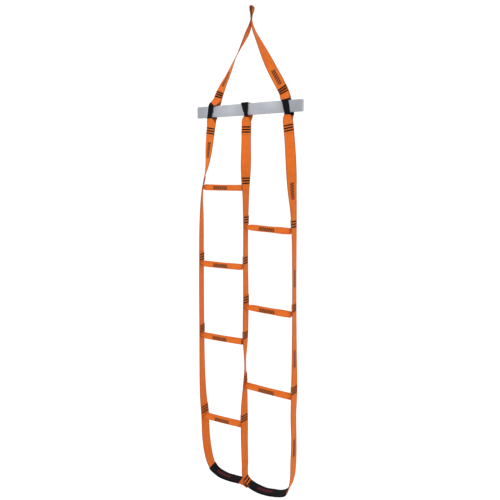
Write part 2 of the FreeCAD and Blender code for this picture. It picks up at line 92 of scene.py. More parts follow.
RUNG_Z = {number: middle_of(f"rung_{number}_core").z for number in RUNGS}
FOLD_Z = {number: fold_height(f"fold_below_rung_{number}") for number in RUNGS}
BRIDLE_FOLD, BAR_FOLD = fold_height("bridle_fold"), fold_height("bar_fold")
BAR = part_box("spreader_bar_tube")
BAR_TOP, BAR_FOOT, BAR_FRONT = BAR[1].z, BAR[0].z, BAR[0].y
SIDES = ("left", "middle", "right")
# each rail's X, halfway between two neighbouring plates, and its X at the bar
LEFT_X, MIDDLE_X, RIGHT_X = [(middle_of(f"rung_2_{side}_rail").x + middle_of(f"rung_3_{side}_rail").x) / 2
                             for side in SIDES]
BAND_X = {side: middle_of(f"{side}_bar_sleeve").x for side in SIDES}


# ---- swept strips ------------------------------------------------------------------------------------------

def hermite(at, keys, wanted):
    """Smooth values of each key column at the wanted places."""
    slopes = np.gradient(keys, at, axis=0)
    index = np.clip(np.searchsorted(at, wanted, side="right") - 1, 0, len(at) - 2)
    gap = (at[index + 1] - at[index])[:, None]
    share = ((wanted - at[index])[:, None]) / gap
    square, cube = share ** 2, share ** 3
    return ((2 * cube - 3 * square + 1) * keys[index] + (cube - 2 * square + share) * gap * slopes[index]
            + (3 * square - 2 * cube) * keys[index + 1] + (cube - square) * gap * slopes[index + 1])


class Strip:
    """A band swept along a smooth line.

    A key is x, y, z, the turn of its width from +X in degrees, and then, where they differ from a plain
    strap's, its width, its thickness and the exponent of its cross-section.
    """

    def __init__(self, keys, step=STEP):
        full = [list(key) + [WIDE, THICK, FLAT][len(key) - 4:] for key in keys]
        keys = np.array(full, float)
        at = np.concatenate([[0], np.cumsum(np.linalg.norm(np.diff(keys[:, :3], axis=0), axis=1))])
        count = max(4, int(at[-1] / step) + 1)
        values = hermite(at, keys, np.linspace(0, at[-1], count))
        self.set_values(values)

    def set_values(self, values):
        self.values = values
        self.points = values[:, :3]
        turn = np.radians(values[:, 3])
        along = np.gradient(self.points, axis=0)
        self.along = along / np.linalg.norm(along, axis=1)[:, None]
        wide = np.stack([np.cos(turn), np.sin(turn), np.zeros(len(turn))], axis=1)
        wide -= np.sum(wide * self.along, axis=1)[:, None] * self.along
        self.wide = wide / np.linalg.norm(wide, axis=1)[:, None]
        self.out = np.cross(self.along, self.wide)
        self.length = np.concatenate([[0], np.cumsum(np.linalg.norm(np.diff(self.points, axis=0), axis=1))])

    def place(self, height):
        """The distance along the strip at which it first comes down to a height."""
        below = int(np.argmax(self.points[:, 2] <= height))
        upper, lower = self.points[below - 1, 2], self.points[below, 2]
        share = (upper - height) / (upper - lower)
        return self.length[below - 1] + share * (self.length[below] - self.length[below - 1])

    def at(self, distance):
        """Point, direction along, direction across, outward normal and the key values at a distance."""
        rows = (self.points, self.along, self.wide, self.out, self.values)
        return [self.between(row, distance) for row in rows]

    def between(self, row, distance):
        """The columns of a row at a distance, from the cross-sections on both sides of it."""
        return np.array([np.interp(distance, self.length, column) for column in row.T])

    def cut(self, start, end):
        """The stretch of the strip between two distances."""
        inside = (self.length > start + STEP / 4) & (self.length < end - STEP / 4)
        rows = [self.at(start)[4], *self.values[inside], self.at(end)[4]]
        piece = Strip.__new__(Strip)
        piece.set_values(np.array(rows))
        piece.start = start
        # the frames at the cut ends are the whole strip's own
        for name in ("along", "wide", "out"):
            whole, part = getattr(self, name), getattr(piece, name)
            part[0], part[-1] = self.between(whole, start), self.between(whole, end)
        return piece


def new_mesh(name, points, faces, material, attributes=()):
    mesh = bpy.data.meshes.new(name)
    mesh.from_pydata([tuple(point) for point in points], [], [tuple(face) for face in faces])
    for label, values in attributes:
        layer = mesh.attributes.new(label, "FLOAT_VECTOR", "POINT")
        layer.data.foreach_set("vector", np.asarray(values, np.float32).ravel())
    mesh.update()
    mesh.shade_smooth()
    mesh.set_sharp_from_angle(angle=math.radians(50))
    mesh.materials.append(material)
    piece = bpy.data.objects.new(name, mesh)
    bpy.context.scene.collection.objects.link(piece)
    return piece


def tube_faces(rings, around, closed_ends=True):
    """Quads between rings of points, with fans over the two ends."""
    faces = []
    for ring in range(rings - 1):
        for k in range(around):
            a, b = ring * around + k, ring * around + (k + 1) % around
            faces.append((a, b, b + around, a + around))
    if closed_ends:
        faces.append(tuple(reversed(range(around))))
        faces.append(tuple(range((rings - 1) * around, rings * around)))
    return faces


NO_MARK = 9.0          # a distance from its mark at which a strap has none
# a wrapped rung's painted edge shade lies in one dark line along its selvedge:
WRAP_SEAM, WRAP_SEAM_HALF = 2.2, 0.3      # angle of the selvedge round a wrapped rung, and half its width


def sweep(name, strip, material, grow=0.0, mark=None, wrapped=False):
    """A closed band along a strip.

    mark is the distance along it of a printed mark's middle.  The weave lies across the band's faces, or
    goes right round it when it is wrapped.
    """
    across = np.sin(np.linspace(-math.pi / 2, math.pi / 2, COLUMNS))
    around = np.concatenate([across, across[-2:0:-1]])
    face = np.concatenate([np.ones(COLUMNS), -np.ones(COLUMNS - 2)])
    around_at, edge_at = around * WIDE / 2, np.abs(around) * WIDE / 2
    if wrapped:
        turn = np.arccos(np.clip(around, -1, 1)) * face
        around_at = turn * strip.values[len(strip.values) // 2, 4] / 2
        # painted shade: only the seam band of a wrapped rung is marked as edge, so it is painted as a dark
        # line
        edge_at = np.where(np.abs(turn - WRAP_SEAM) < WRAP_SEAM_HALF, WIDE / 2, 0.0)
    points, place, marks = [], [], []
    start = getattr(strip, "start", 0.0)
    for row in range(len(strip.points)):
        wide, thick, power = strip.values[row, 4:7]
        half, deep = wide / 2 + grow, thick / 2 + grow
        rise = (1 - np.abs(around) ** power) ** (1 / power) * face
        rise = np.where(np.abs(around) > 0.999, 0.0, rise)
        v = start + strip.length[row]
        points.append(strip.points[row] + np.outer(around * half, strip.wide[row])
                      + np.outer(rise * deep, strip.out[row]))
        place.append(np.stack([around_at, np.full(len(around), v), edge_at], axis=1))
        gap = NO_MARK if mark is None else v - mark
        marks.append(np.stack([around_at, np.full(len(around), gap), edge_at], axis=1))
    count = len(around)
    faces = tube_faces(len(strip.points), count)
    return new_mesh(name, np.concatenate(points), faces, material,
                    (("strap_at", np.concatenate(place)), ("mark_at", np.concatenate(marks))))


# ---- materials ---------------------------------------------------------------------------------------------

class Nodes:
    """Short calls for building one material's node tree."""

    def __init__(self, name):
        self.material = bpy.data.materials.new(name)
        self.material.use_nodes = True
        self.tree = self.material.node_tree
        self.shader = self.tree.nodes["Principled BSDF"]

    def node(self, kind, **settings):
        made = self.tree.nodes.new(kind)
        for key, value in settings.items():
            setattr(made, key, value)
        return made

    def link(self, source, target):
        self.tree.links.new(source, target)

    def math(self, operation, first, second=0.0, clamp=False):
        made = self.node("ShaderNodeMath", operation=operation, use_clamp=clamp)
        for socket, value in zip(made.inputs, (first, second)):
            if isinstance(value, (int, float)):
                socket.default_value = value
            else:
                self.link(value, socket)
        return made.outputs[0]

    def mix(self, share, first, second, blend="MIX"):
        made = self.node("ShaderNodeMix", data_type="RGBA", blend_type=blend)
        sockets = made.inputs["Factor"], made.inputs[6], made.inputs[7]
        for socket, value in zip(sockets, (share, first, second)):
            if isinstance(value, (int, float)):
                socket.default_value = value
            elif isinstance(value, tuple):
                socket.default_value = (*value, 1.0)
            else:
                self.link(value, socket)
        return made.outputs[2]

    def noise(self, vector, scale, detail=2.0, roughness=0.5):
        made = self.node("ShaderNodeTexNoise")
        made.inputs["Scale"].default_value = scale
        made.inputs["Detail"].default_value = detail
        made.inputs["Roughness"].default_value = roughness
        self.link(vector, made.inputs["Vector"])
        return made.outputs["Fac"]

    def split(self, vector):
        made = self.node("ShaderNodeSeparateXYZ")
        self.link(vector, made.inputs[0])
        return made.outputs

    def attribute(self, name):
        return self.node("ShaderNodeAttribute", attribute_name=name).outputs["Vector"]

    def spread(self, value, low, high, to_low=0.0, to_high=1.0):
        made = self.node("ShaderNodeMapRange", interpolation_type="SMOOTHSTEP")
        self.link(value, made.inputs[0])
        for socket, number in zip(made.inputs[1:5], (low, high, to_low, to_high)):
            socket.default_value = number
        return made.outputs[0]

    def bump(self, height, distance, strength=1.0, normal=None):
        made = self.node("ShaderNodeBump")
        made.inputs["Distance"].default_value = distance
        made.inputs["Strength"].default_value = strength
        self.link(height, made.inputs["Height"])
        if normal:
            self.link(normal, made.inputs["Normal"])
        return made.outputs["Normal"]


RIB, SLEEVE_RIB = 0.0021, 0.0026      # pitch of the ribs in a strap and in a sleeve
THREAD = 0.0008


def webbing_material(name, colour, dark, edge_shade_colour, shine, rib, mark, print_colour):
    """Woven strap: lengthwise ribs crossed by picks, painted shade along its edges, uneven dye and a little
    wear.
    """
    n = Nodes(name)
    position = n.attribute("strap_at")
    across, along, edge_at = n.split(n.attribute("strap_at"))
    # warp ribs run along the strap and the picks between them step sideways, as in a plain heavy weave
    rib_wave = n.math("SINE", n.math("MULTIPLY", across, 2 * math.pi / rib))
    shift = n.math("MULTIPLY", n.math("SIGN", rib_wave), math.pi / 2)
    pick_wave = n.math("SINE", n.math("ADD", n.math("MULTIPLY", along, 2 * math.pi / (rib * 1.15)), shift))
    ribs = n.math("ABSOLUTE", rib_wave)
    weave = n.math("MULTIPLY", n.math("ADD", n.math("MULTIPLY", pick_wave, 0.5), 0.5), ribs)
    # painted shade: the strap is darkened towards its edges, and along a wrapped rung's seam, where its faces
    # turn away from the light
    edge_shade = n.spread(edge_at, WIDE / 2 - 0.0042, WIDE / 2 - 0.0012)
    blotch = n.noise(position, 38.0, 3.0)
    streak_at = n.node("ShaderNodeVectorMath", operation="MULTIPLY")
    n.link(position, streak_at.inputs[0])
    streak_at.inputs[1].default_value = (900.0, 25.0, 1.0)
    streak = n.noise(streak_at.outputs[0], 1.0, 2.0)
    shade = n.math("ADD", n.math("MULTIPLY", weave, 0.45),
                   n.math("ADD", n.math("MULTIPLY", blotch, 0.5), n.math("MULTIPLY", streak, 0.35)))
    body = n.mix(n.spread(shade, 0.25, 0.95), dark, colour)
    body = n.mix(n.math("MULTIPLY", edge_shade, 0.85), body, edge_shade_colour)
    worn = n.math("MULTIPLY", n.spread(n.noise(position, 300.0, 4.0, 0.7), 0.60, 0.78), 0.16)
    body = n.mix(worn, body, tuple(min(1.0, 1.5 * c + 0.03) for c in colour))
    # printed marks: a plain row of slanted dashes
    mark_across, mark_along, _ = n.split(n.attribute("mark_at"))
    half_length, half_height, pitch, strength = mark
    within = n.math("MULTIPLY", n.spread(n.math("ABSOLUTE", mark_along), half_length, half_length - 0.002),
                    n.spread(n.math("ABSOLUTE", mark_across), half_height, half_height - 0.0015))
    slanted = n.math("ADD", mark_along, n.math("MULTIPLY", mark_across, 0.45))
    dashes = n.spread(n.math("SINE", n.math("MULTIPLY", slanted, 2 * math.pi / pitch)), -0.90, -0.65)
    printed = n.math("MULTIPLY", n.math("MULTIPLY", within, dashes), strength)
    body = n.mix(printed, body, print_colour)
    n.link(body, n.shader.inputs["Base Color"])
    rough = n.spread(n.math("ADD", weave, blotch), 0.2, 1.4, 0.86, 0.66)
    n.link(rough, n.shader.inputs["Roughness"])
    n.shader.inputs["Specular IOR Level"].default_value = shine
    relief = n.math("ADD", n.math("MULTIPLY", weave, 1.0), n.math("MULTIPLY", streak, 0.35))
    normal = n.bump(n.noise(position, 900.0, 2.0), 0.0002, 0.25)
    n.link(n.bump(relief, 0.00045, 0.75, normal), n.shader.inputs["Normal"])
    return n.material


def thread_material():
    """Heavy black thread, laid in close diagonal turns."""
    n = Nodes("bartack_thread")
    across, along, _ = n.split(n.attribute("strap_at"))
    round_about = n.math("MULTIPLY", across, 2 * math.pi / THREAD)
    turns = n.math("SINE", n.math("ADD", round_about, n.math("MULTIPLY", along, 1800.0)))
    fuzz = n.noise(n.attribute("strap_at"), 1500.0, 3.0)
    lit = n.spread(n.math("ADD", turns, fuzz), -0.6, 1.4)
    n.link(n.mix(lit, (0.003, 0.0015, 0.0015), (0.011, 0.006, 0.005)), n.shader.inputs["Base Color"])
    n.link(n.spread(fuzz, 0.3, 0.7, 0.75, 0.55), n.shader.inputs["Roughness"])
    n.shader.inputs["Specular IOR Level"].default_value = 0.10
    n.link(n.bump(turns, 0.0003, 0.6), n.shader.inputs["Normal"])
    return n.material


GRIP_START, GRIP_PITCH = 0.203, 0.0034      # the grip's distance from the bar's middle, and its pitch


def aluminium_material():
    """Extruded tube: fine lines along its length, a natural anodised skin, faint scuffs."""
    n = Nodes("anodised_aluminium")
    position = n.node("ShaderNodeTexCoord").outputs["Object"]
    stretch = n.node("ShaderNodeVectorMath", operation="MULTIPLY")
    n.link(position, stretch.inputs[0])
    stretch.inputs[1].default_value = (6.0, 1400.0, 1400.0)
    lines = n.noise(stretch.outputs[0], 1.0, 3.0, 0.6)
    cloud = n.noise(position, 14.0, 4.0)
    scuff = n.spread(n.noise(position, 160.0, 5.0, 0.75), 0.63, 0.72)
    tone = n.math("ADD", n.math("MULTIPLY", lines, 0.5), n.math("MULTIPLY", cloud, 0.6))
    body = n.mix(n.spread(tone, 0.3, 0.8), (0.29, 0.30, 0.335), (0.37, 0.38, 0.42))
    body = n.mix(n.math("MULTIPLY", scuff, 0.25), body, (0.68, 0.69, 0.73))
    n.shader.inputs["Metallic"].default_value = 0.35
    n.link(n.spread(tone, 0.2, 0.9, 0.60, 0.44), n.shader.inputs["Roughness"])
    # a fine rolled grip at both ends
    x, _, z = n.split(position)
    from_middle = n.math("ABSOLUTE", n.math("SUBTRACT", x, (BAR[0].x + BAR[1].x) / 2))
    near_end = n.spread(from_middle, GRIP_START, GRIP_START + 0.004)
    crossed = n.math("MULTIPLY", n.math("SINE", n.math("MULTIPLY", x, 2 * math.pi / GRIP_PITCH)),
                     n.math("SINE", n.math("MULTIPLY", z, 2 * math.pi / GRIP_PITCH)))
    grip = n.math("MULTIPLY", n.spread(crossed, 0.1, 0.6), near_end)
    n.link(n.mix(n.math("MULTIPLY", grip, 0.7), body, (0.14, 0.145, 0.17)), n.shader.inputs["Base Color"])
    n.link(n.bump(grip, 0.0004, 0.6, n.bump(lines, 0.00012, 0.35)), n.shader.inputs["Normal"])
    return n.material


def plastic_material(name, dark, light, rough, grain):
    """Moulded plastic: a fine spark-eroded grain and slight unevenness."""
    n = Nodes(name)
    position = n.node("ShaderNodeTexCoord").outputs["Object"]
    cloud = n.noise(position, 45.0, 4.0)
    pits = n.noise(position, grain, 2.0)
    n.link(n.mix(n.spread(cloud, 0.3, 0.7), dark, light), n.shader.inputs["Base Color"])
    n.link(n.spread(pits, 0.3, 0.7, rough + 0.08, rough - 0.05), n.shader.inputs["Roughness"])
    n.link(n.bump(pits, 0.00008, 0.4), n.shader.inputs["Normal"])
    return n.material


def floor_material():
    n = Nodes("pale_floor")
    position = n.node("ShaderNodeTexCoord").outputs["Object"]
    body = n.mix(n.noise(position, 3.0, 2.0), (0.96, 0.96, 0.96), (0.98, 0.98, 0.98))
    n.link(body, n.shader.inputs["Base Color"])
    n.shader.inputs["Roughness"].default_value = 0.9
    return n.material


# half length, half height, pitch and strength of the printed marks on straps and on sleeves
MARK = (0.037, 0.0100, 0.0105, 0.85)
SLEEVE_MARK = (0.036, 0.0075, 0.0120, 0.85)
BROWN_PRINT, RED_PRINT = (0.020, 0.007, 0.004), (0.110, 0.012, 0.018)
orange = webbing_material("orange_webbing", (0.76, 0.165, 0.011), (0.56, 0.105, 0.007),
                          (0.27, 0.052, 0.006), 0.25, RIB, MARK, BROWN_PRINT)
# painted shade: the eye loop, with its doubled stem, takes a darker copy of the webbing that stands for the
# shade in its folds
eye_painted_shade = webbing_material("eye_painted_shade_webbing", (0.50, 0.115, 0.014), (0.33, 0.070, 0.009),
                           (0.11, 0.026, 0.006), 0.20, RIB, MARK, BROWN_PRINT)
black = webbing_material("black_sleeve", (0.008, 0.008, 0.011), (0.003, 0.003, 0.004),
                         (0.002, 0.002, 0.003), 0.07, SLEEVE_RIB, SLEEVE_MARK, RED_PRINT)
thread = thread_material()
aluminium = aluminium_material()
plug_plastic = plastic_material("end_plug_plastic", (0.33, 0.34, 0.38), (0.42, 0.43, 0.47), 0.5, 900.0)
core_plastic = plastic_material("rung_core_plastic", (0.02, 0.02, 0.022), (0.04, 0.04, 0.045), 0.45, 700.0)


# ---- sewing ------------------------------------------------------------------------------------------------

TACK_LONG, TACK_WIDE, TACK_HIGH, TACK_PITCH = 0.0430, 0.0073, 0.0026, 0.0112
TACK_SECTIONS, TACK_AROUND = 34, 8


def tack_bar(centre, along, wide, out, long, lean, row):
    """One sewn bar: its points, and the place of each on the thread.  It is thick and thin by turns."""
    points, place = [], []
    for k in range(TACK_SECTIONS):
        share = 2 * k / (TACK_SECTIONS - 1) - 1
        side = share * long / 2
        swell = (1 - abs(share) ** 10) ** 0.5 * (0.86 + 0.14 * math.cos(k * math.pi))
        base = centre + side * (wide + lean * along)
        for j in range(TACK_AROUND):
            angle = 2 * math.pi * j / TACK_AROUND
            points.append(base + math.cos(angle) * swell * TACK_WIDE / 2 * along
                          + math.sin(angle) * swell * TACK_HIGH / 2 * out)
            place.append((side, math.cos(angle) * TACK_WIDE / 2, row))
    return points, place


def tack_bars(name, strip, middle, layers, turn=0.0, long=TACK_LONG, pitch=TACK_PITCH, sides=(-1, 1)):
    """Three sewn bars across a strip, on one or both faces of the layers of webbing that they go through."""
    points, faces, place = [], [], []
    lean = math.tan(math.radians(turn))
    for row in (-1, 0, 1):
        centre, along, wide, out, _ = strip.at(middle + row * pitch)
        for side in sides:
            bar, bar_place = tack_bar(centre + side * layers / 2 * out, along, wide, out, long, lean, row)
            first = len(points)
            faces += [[first + i for i in one] for one in tube_faces(TACK_SECTIONS, TACK_AROUND)]
            points += bar
            place += bar_place
    return new_mesh(name, points, faces, thread, (("strap_at", place), ("mark_at", place)))


def finish_piece(piece, slot, *nodes):
    """Hides the CAD nodes that a piece replaces; the slot is not used."""
    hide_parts(*nodes)


# ---- the three straps --------------------------------------------------------------------------------------

SEAM_LOW = BAR_FOOT - 0.033     # where a strap's two layers meet again below the bar
LOW_TACKS = BAR_FOLD + 0.037
HIGH_TACKS = BRIDLE_FOLD - 0.0275

left_rail = Strip([
    (BAND_X["left"] - 0.006, 0, SEAM_LOW, -4),
    (-0.201, 0, BAR_FOLD + 0.020, -7),
    (-0.208, 0, -0.620, -18),
    (-0.217, 0, -0.690, -40),
    (-0.229, 0, -0.740, -57, WIDE, 0.0034),
    (LEFT_X + 0.006, 0, RUNG_Z[1], -63, WIDE, 0.0042),
    (LEFT_X + 0.001, 0, -0.850, -70, WIDE, 0.0034),
    (LEFT_X, 0, -0.920, -80),
    (LEFT_X - 0.001, 0, RUNG_Z[3], -86),
    (LEFT_X + 0.001, 0, RUNG_Z[5], -88),
    (LEFT_X + 0.002, 0, FOLD_Z[5], -90),
    (LEFT_X + 0.009, 0, FOLD_Z[6], -100),
    (LEFT_X + 0.018, 0, RUNG_Z[7], -108),
    (LEFT_X + 0.024, 0, FOLD_Z[7], -110),
    (LEFT_X + 0.035, 0, -1.995, -108),
    (LEFT_X + 0.046, 0, -2.030, -102),
    (LEFT_X + 0.061, 0, -2.055, -96),
    (LEFT_X + 0.088, 0, -2.072, -92),
    (LEFT_X + 0.122, 0, -2.080, -90),
    (LEFT_X + 0.160, 0, -2.081, -90),
    (LEFT_X + 0.198, 0, -2.0795, -90),
    (LEFT_X + 0.222, 0, -2.0823, -90),
    (LEFT_X + 0.240, 0, -2.0889, -90),
])
middle_rail = Strip([
    (BAND_X["middle"] + 0.000, 0, SEAM_LOW, 0),
    (BAND_X["middle"] - 0.001, 0, BAR_FOLD + 0.020, 2),
    (MIDDLE_X + 0.001, 0, -0.640, 12),
    (MIDDLE_X, 0, -0.720, 42),
    (MIDDLE_X, 0, RUNG_Z[1], 70),
    (MIDDLE_X, 0, FOLD_Z[1], 82),
    (MIDDLE_X - 0.001, 0, RUNG_Z[3], 88),
    (MIDDLE_X, 0, FOLD_Z[3], 86),
    (MIDDLE_X - 0.002, 0, RUNG_Z[5], 90),
    (MIDDLE_X - 0.003, 0, FOLD_Z[5], 108),
    (MIDDLE_X - 0.004, 0, RUNG_Z[6], 92),
    (MIDDLE_X - 0.007, 0, FOLD_Z[6], 76),
    (MIDDLE_X - 0.007, 0, RUNG_Z[7], 72),
    (MIDDLE_X - 0.006, 0, FOLD_Z[7], 76),
    (MIDDLE_X - 0.004, 0, -2.000, 78),
    (MIDDLE_X - 0.004, 0, -2.040, 82),
    (MIDDLE_X + 0.000, 0, -2.060, 88),
    (MIDDLE_X + 0.013, 0, -2.0745, 90),
    (MIDDLE_X + 0.032, 0, -2.0850, 90),
    (MIDDLE_X + 0.050, 0, -2.0905, 90),
])
right_rail = Strip([
    (BAND_X["right"] + 0.003, 0, SEAM_LOW, 3),
    (0.179, 0, BAR_FOLD + 0.020, 5),
    (0.186, 0, -0.650, 14),
    (0.190, 0, -0.730, 32),
    (0.193, 0, -0.800, 52),
    (RIGHT_X - 0.003, 0, FOLD_Z[1], 72),
    (RIGHT_X, 0, RUNG_Z[2], 82),
    (RIGHT_X + 0.001, 0, RUNG_Z[3], 88),
    (RIGHT_X + 0.001, 0, RUNG_Z[4], 88),
    (RIGHT_X + 0.001, 0, RUNG_Z[5], 84),
    (RIGHT_X + 0.000, 0, RUNG_Z[6], 76),
    (RIGHT_X - 0.003, 0, FOLD_Z[6], 80),
    (RIGHT_X - 0.001, 0, RUNG_Z[7], 82),
    (RIGHT_X - 0.003, 0, FOLD_Z[7], 78),
    (RIGHT_X - 0.009, 0, -2.010, 84),
    (RIGHT_X - 0.020, 0, -2.048, 90),
    (RIGHT_X - 0.036, 0, -2.072, 96),
    (RIGHT_X - 0.060, 0, -2.084, 94),
    (RIGHT_X - 0.095, 0, -2.091, 90),
    (RIGHT_X - 0.135, 0, -2.0950, 90),
    (RIGHT_X - 0.165, 0, -2.0925, 90),
    (RIGHT_X - 0.196, 0, -2.0845, 90),
    (RIGHT_X - 0.214, 0, -2.0760, 90),
    (RIGHT_X - 0.228, 0, -2.0655, 90),
])
RAILS = {"left": left_rail, "middle": middle_rail, "right": right_rail}
STEP_STRAP_Z = -1.998  # below this the straps belong to the steps


def across_fold(piece):
    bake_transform(piece)


# heights of the printed marks, on the stretches of rail that show them or part of them
RAIL_MARKS = {("left", 0): -0.624, ("right", 0): -0.803, ("right", 1): -0.803, ("right", 2): -1.169,
              ("right", 3): -1.169, ("right", 5): -1.504, ("right", 6): -1.877, ("right", 7): -1.877}


def make_rails():
    """Each rail is cut at the rungs, so that each piece holds one fold."""
    for side, strip in RAILS.items():
        for fold in range(8):
            top = 0.0 if fold == 0 else strip.place(RUNG_Z[fold])
            low = strip.place(RUNG_Z[fold + 1] if fold < 7 else STEP_STRAP_Z)
            mark = strip.place(RAIL_MARKS[side, fold]) if (side, fold) in RAIL_MARKS else None
            piece = sweep(f"{side}_strap_{fold}", strip.cut(top, low), orange, mark=mark)
            nodes = [f"rung_{number}_{side}_rail" for number in (fold, fold + 1) if number in RUNGS]
            finish_piece(piece, "orange_webbing", *nodes)
            across_fold(piece)
        foot = sweep(f"{side}_step_strap", strip.cut(strip.place(STEP_STRAP_Z), strip.length[-1]), orange)
        finish_piece(foot, "orange_webbing", "left_step_webbing" if side == "left" else "right_step_webbing")
        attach(foot, "steps")


# ---- bottom steps ------------------------------------------------------------------------------------------

def sleeve_over(name, strip, start, end, mark):
    """A black tube of webbing over a stretch of strap, a little loose and uneven."""
    piece = strip.cut(start, end)
    values = piece.values
    share = piece.length / piece.length[-1]
    values[:, 4] = WIDE + 0.0006 * np.sin(share * 21.0)
    values[:, 5] = THICK + 0.0016 + 0.0006 * np.sin(share * 17.0 + 1.0)
    values[:, 6] = 7.0
    return sweep(name, piece, black, grow=SLEEVE_WALL, mark=start + mark * (end - start))


def make_steps():
    # where each sleeve starts, how far from its strap's end it stops, and its mark's share of that
    for side, start, short, mark in (("left", -2.049, 0.043, 0.45), ("right", -2.064, 0.012, 0.55)):
        rail = RAILS[side]
        stop = rail.length[-1] - short
        sleeve = sleeve_over(f"{side}_step_sleeve_piece", rail, rail.place(start), stop, mark)
        finish_piece(sleeve, "black_sleeve", f"{side}_step_sleeve")
        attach(sleeve, "steps")
    # the sewing shows above the middle strap and below the left one
    for name, rail, short, pitch in (("step_sewing_top", middle_rail, 0.046, 0.0125),
                                     ("step_sewing_under", left_rail, 0.015, 0.0090)):
        middle = rail.length[-1] - short
        sewn = tack_bars(name, rail, middle, THICK + 0.0004, pitch=pitch, sides=(1,))
        finish_piece(sewn, "black_thread", "step_bartacks")
        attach(sewn, "steps")


# ---- rungs -------------------------------------------------------------------------------------------------

TAIL_UP, TACK_UP = 0.050, 0.031      # top of a rung's tails and middle of their sewing, above the rung
TAIL_WIDE = WIDE - 0.001
RUNG_FALL = 0.0045     # half of what a right-hand rung falls from left to right
RUNG_BOW = 0.0012      # sag of a rung at its middle
TUBE = 0.0270          # diameter of a rung
FLAT_GAP = 0.0035      # a flattened rung end stops this far short of its rail
OPEN_GAP = 0.0125      # and an open one this far
NECK_RUNGS = (2, 4)    # rungs whose right ends stop at a short flat neck
OPEN_RUNGS = (1, 5)    # rungs whose right ends are cut square and left open
# how far each rung takes, from its left and right rails, to come to its full size
RUNG_TAPER = {1: (0.009, 0.006), 2: (0.026, 0.013), 3: (0.010, 0.017), 4: (0.034, 0.014),
              5: (0.012, 0.006), 6: (0.007, 0.008), 7: (0.007, 0.007)}


def facing(out, way):
    """The one of a strap's two outward directions that points along X with the sign of way."""
    return out if out[0] * way > 0 else -out


def rail_side(side, height, way):
    """A rail's middle at a height, the direction out of its face towards the rung, and its turn."""
    point, _, _, out, values = RAILS[side].at(RAILS[side].place(height))
    turn = values[3] % 180 - (180 if side == "left" else 0)
    return point, facing(out, way), turn


def make_tail(number, side, height, way):
    """An end of the rung's webbing: it comes out of the rung and turns up against the rail."""
    point, inward, turn = rail_side(side, height, way)
    # a tail that comes out of an open rung is folded to fit into it
    inner, mouth = (0.018, 0.028) if number in OPEN_RUNGS and way < 0 else (TAIL_WIDE, TAIL_WIDE)
    start = ((0.016, -0.0012, inner), (0.008, -0.0010, mouth), (THICK * 1.05, 0.0045, TAIL_WIDE))
    keys = [(*(point + inward * aside + np.array([0, 0, rise])), turn, wide) for aside, rise, wide in start]
    for rise in (0.016, 0.027, 0.038, TAIL_UP):
        point, inward, turn = rail_side(side, height + rise, way)
        keys.append((*(point + inward * THICK * 1.02), turn, TAIL_WIDE))
    tail = sweep(f"rung_{number}_{side}_tail", Strip(keys, 0.003), orange)
    finish_piece(tail, "orange_webbing", f"rung_{number}_webbing")
    return tail


def make_tail_sewing(number, side, height, way):
    """Bars through the tail and its rail, centred on the face between the two."""
    rail = RAILS[side]
    middle = rail.place(height + TACK_UP)
    keys = []
    for distance in np.linspace(middle - 0.02, middle + 0.02, 5):
        point, _, _, out, values = rail.at(distance)
        keys.append((*(point + facing(out, way) * THICK / 2), *values[3:]))
    seam = Strip(keys, 0.002)
    sewn = tack_bars(f"rung_{number}_{side}_sewing", seam, seam.length[-1] / 2, THICK * 2, turn=2.0 * way)
    finish_piece(sewn, "black_thread", f"rung_{number}_bartacks")
    return sewn


def rung_end(number, way, taper):
    """A rung's cross-sections from one rail inwards: distance, width, thickness and exponent."""
    gap = FLAT_GAP
    if number in OPEN_RUNGS and way < 0:
        insets = (0.0, 0.0008, 0.008, 0.016, 0.026)
        return [(OPEN_GAP + inset, TUBE + 0.0008, TUBE, ROUND) for inset in insets]
    if number in NECK_RUNGS and way < 0:
        return [(gap, 0.0300, 0.0050, 5.0), (gap + 0.0055, 0.0290, 0.0055, 5.0),
                (gap + 0.0072, 0.0270, 0.0160, 2.6), (gap + 0.0110, 0.0275, 0.0250, 2.1),
                (gap + 0.0200, TUBE, TUBE, ROUND)]
    return [(gap, 0.0350, 0.0060, 5.0), (gap + taper * 0.22, 0.0360, 0.0120, 3.5),
            (gap + taper * 0.6, 0.0320, 0.0224, 2.6), (gap + taper, 0.0280, 0.0262, 2.1),
            (gap + taper + 0.012, TUBE, TUBE, ROUND)]


def rung_sections(number, reach):
    """All of a rung's cross-sections, with their distances from its left rail."""
    left, right = [rung_end(number, way, taper) for way, taper in zip((1, -1), RUNG_TAPER[number])]
    middle = (reach / 2, TUBE, TUBE - 0.0004, ROUND)
    return [*left, middle, *((reach - inset, *size) for inset, *size in reversed(right))]


def make_rung(number):
    """A round stretch of webbing between two rails, with the tails that hold it and their sewing."""
    sides, fall = (("left", "middle"), 0.0) if number % 2 else (("middle", "right"), RUNG_FALL)
    body = f"panel_{number}"
    ends = []
    for side, way in zip(sides, (1, -1)):
        height = RUNG_Z[number] + way * fall
        point, inward, _ = rail_side(side, height, way)
        ends.append(point + inward * THICK / 2)
        for piece in (make_tail(number, side, height, way), make_tail_sewing(number, side, height, way)):
            if number == 1:
                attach(piece, body)
            else:
                across_fold(piece)
    left, right = ends
    reach = np.linalg.norm(right - left)
    keys = []
    for distance, *section in rung_sections(number, reach):
        x, y, z = left + (right - left) * distance / reach
        keys.append((x, y, z - RUNG_BOW * math.sin(math.pi * distance / reach), -90, *section))
    strip = Strip(keys, 0.003)
    cover = sweep(f"rung_{number}_cover", strip, orange, mark=strip.length[-1] * 0.46, wrapped=True)
    finish_piece(cover, "orange_webbing", f"rung_{number}_webbing")
    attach(cover, body)
    if number in OPEN_RUNGS:
        make_open_end(number, strip, body)


